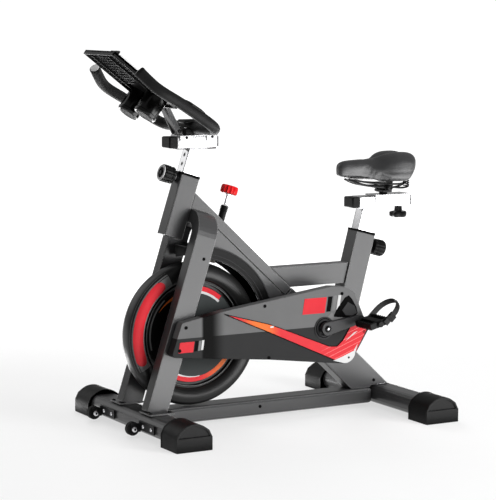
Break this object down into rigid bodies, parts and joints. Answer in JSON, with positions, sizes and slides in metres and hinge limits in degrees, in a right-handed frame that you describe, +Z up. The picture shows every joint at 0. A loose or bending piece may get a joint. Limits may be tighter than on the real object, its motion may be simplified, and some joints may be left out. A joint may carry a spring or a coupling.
{
  "type": "indoor spin bike",
  "caption": "Stationary exercise bike with an enclosed belt drive to a heavy flywheel, a felt brake, and a saddle and handlebar on sliding posts.",
  "frame": {"origin": "on the floor, under the middle of the outer box", "axes": "+Z up, +X towards the saddle end, -Y the side with the drive cover"},
  "size_m": [1.0708, 0.72, 1.1284],
  "materials": {
    "frame_paint": "semi-gloss dark grey powder coat",
    "black_plastic": "fine-textured black moulding",
    "grey_plastic": "satin mid-grey moulding",
    "chrome": "bright plated steel",
    "steel": "plain bright steel",
    "flywheel_iron": "dark painted cast iron, satin",
    "rubber": "matte black",
    "foam_grip": "matte black closed-cell foam over a steel tube",
    "saddle_vinyl": "black vinyl with a fine grain",
    "red_plastic": "bright red",
    "brake_felt": "dense wool felt"
  },
  "bodies": {
    "base": {"base_beam": "frame_paint", "front_stabilizer": "frame_paint", "rear_stabilizer": "frame_paint", "front_cap_near": "black_plastic", "front_cap_far": "black_plastic", "rear_cap_near": "black_plastic", "rear_cap_far": "black_plastic", "fork": "frame_paint", "head_sleeve": "frame_paint", "main_strut": "frame_paint", "gusset_plate": "frame_paint", "top_tube": "frame_paint", "seat_sleeve": "frame_paint", "rear_strut": "frame_paint", "bottom_bracket_shell": "frame_paint", "chain_cover": "grey_plastic", "chain_cover_back": "black_plastic", "cover_trim": "red_plastic", "wheel_fender": "black_plastic", "axle_plate_near": "steel", "axle_plate_far": "steel", "brake_sleeve": "black_plastic", "roller_bracket_near": "steel", "roller_bracket_far": "steel", "drive_belt": "rubber"},
    "flywheel_unit": {"flywheel": "flywheel_iron", "flywheel_axle": "steel", "flywheel_pulley": "steel"},
    "crank_unit": {"crank_spindle": "steel", "drive_pulley": "steel", "crank_arm_near": "steel", "crank_arm_far": "steel"},
    "pedal_unit_near": {"pedal_near": "black_plastic", "toe_strap_near": "rubber"},
    "pedal_unit_far": {"pedal_far": "black_plastic", "toe_strap_far": "rubber"},
    "roller_unit_near": {"roller_near": "rubber"},
    "roller_unit_far": {"roller_far": "rubber"},
    "brake_unit": {"brake_rod": "steel", "brake_pad": "brake_felt"},
    "tension_knob_unit": {"tension_knob": "red_plastic"},
    "head_pin": {"head_pull_knob": "black_plastic"},
    "seat_pin": {"seat_pull_knob": "black_plastic"},
    "handlebar_mast": {"handlebar_post": "chrome", "handlebar_rail": "chrome"},
    "handlebar_unit": {"handlebar_carriage": "steel", "bar_clamp": "black_plastic", "handlebar": "foam_grip", "rack_brace": "frame_paint", "device_rack": "black_plastic", "cup_near": "black_plastic", "cup_far": "black_plastic"},
    "seat_mast": {"seat_post": "chrome", "seat_rail": "chrome"},
    "seat_slider": {"seat_carriage": "steel", "saddle_clamp": "black_plastic"},
    "seat_knob_unit": {"seat_knob": "black_plastic"},
    "saddle_unit": {"saddle": "saddle_vinyl", "saddle_frame_near": "steel", "saddle_frame_far": "steel"}
  },
  "joints": [
    {"name": "flywheel_spin", "type": "hinge", "parent": "base", "child": "flywheel_unit", "pos_m": [-0.24263, 0, 0.279], "axis": [0, 1, 0], "continuous": true},
    {"name": "crank_spin", "type": "hinge", "parent": "base", "child": "crank_unit", "pos_m": [0.14436, 0, 0.284], "axis": [0, 1, 0], "continuous": true},
    {"name": "pedal_near_spin", "type": "hinge", "parent": "crank_unit", "child": "pedal_unit_near", "pos_m": [0.26254, -0.226, 0.30484], "axis": [0, 1, 0], "continuous": true},
    {"name": "pedal_far_spin", "type": "hinge", "parent": "crank_unit", "child": "pedal_unit_far", "pos_m": [0.02619, 0.226, 0.26316], "axis": [0, 1, 0], "continuous": true},
    {"name": "roller_near_spin", "type": "hinge", "parent": "base", "child": "roller_unit_near", "pos_m": [-0.47713, -0.083, 0.026], "axis": [0, 1, 0], "continuous": true},
    {"name": "roller_far_spin", "type": "hinge", "parent": "base", "child": "roller_unit_far", "pos_m": [-0.47713, 0.186, 0.026], "axis": [0, 1, 0], "continuous": true},
    {"name": "brake_press", "type": "slide", "parent": "base", "child": "brake_unit", "axis": [-0.309, 0, -0.9511], "range_m": [0, 0.0045], "stiffness_N_per_m": 2000},
    {"name": "tension_turn", "type": "hinge", "parent": "brake_unit", "child": "tension_knob_unit", "pos_m": [-0.11142, 0, 0.69252], "axis": [0.309, 0, 0.9511], "range_deg": [-720, 720]},
    {"name": "head_pin_pull", "type": "slide", "parent": "base", "child": "head_pin", "axis": [-0.9511, 0, 0.309], "range_m": [0, 0.012], "stiffness_N_per_m": 1200},
    {"name": "seat_pin_pull", "type": "slide", "parent": "base", "child": "seat_pin", "axis": [0.9659, 0, -0.2588], "range_m": [0, 0.012], "stiffness_N_per_m": 1200},
    {"name": "handlebar_height", "type": "slide", "parent": "base", "child": "handlebar_mast", "axis": [0.309, 0, 0.9511], "range_m": [-0.04, 0.08]},
    {"name": "handlebar_reach", "type": "slide", "parent": "handlebar_mast", "child": "handlebar_unit", "axis": [1, 0, 0], "range_m": [-0.03, 0.03]},
    {"name": "seat_height", "type": "slide", "parent": "base", "child": "seat_mast", "axis": [0.2588, 0, 0.9659], "range_m": [-0.055, 0.06]},
    {"name": "saddle_reach", "type": "slide", "parent": "seat_mast", "child": "seat_slider", "axis": [1, 0, 0], "range_m": [-0.045, 0.03]},
    {"name": "seat_knob_turn", "type": "hinge", "parent": "seat_slider", "child": "seat_knob_unit", "pos_m": [0.50136, 0, 0.593], "axis": [0, 0, 1], "range_deg": [-360, 360]},
    {"name": "saddle_tilt", "type": "hinge", "parent": "seat_slider", "child": "saddle_unit", "pos_m": [0.44337, 0, 0.69], "axis": [0, 1, 0], "range_deg": [-8, 8]}
  ],
  "couplings": [
    {"joint": "crank_spin", "follows": "flywheel_spin", "ratio": 0.33333}
  ]
}
